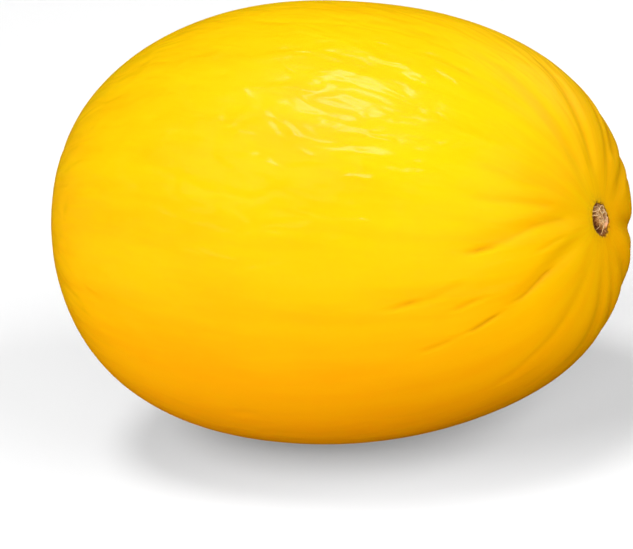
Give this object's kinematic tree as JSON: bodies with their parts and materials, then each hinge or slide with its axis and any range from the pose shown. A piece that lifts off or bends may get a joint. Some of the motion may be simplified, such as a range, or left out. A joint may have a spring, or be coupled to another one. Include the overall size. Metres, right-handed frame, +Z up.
{
  "type": "melon",
  "caption": "Whole yellow melon, blunt oval with furrows drawn in to a dried stem stub, lying on its side on a small flat spot.",
  "frame": {"origin": "on the surface that the melon lies on, under the middle of its bounding box", "axes": "+X along the melon towards its stem end, +Z up; the stem end is lifted by 3 degrees"},
  "size_m": [0.1838, 0.1406, 0.1387],
  "materials": {
    "rind": null,
    "dried_stem": "dry, matt, fibrous and corky"
  },
  "bodies": {
    "root": {"melon_fruit": "rind", "stem_stub": "dried_stem"}
  },
  "joints": []
}
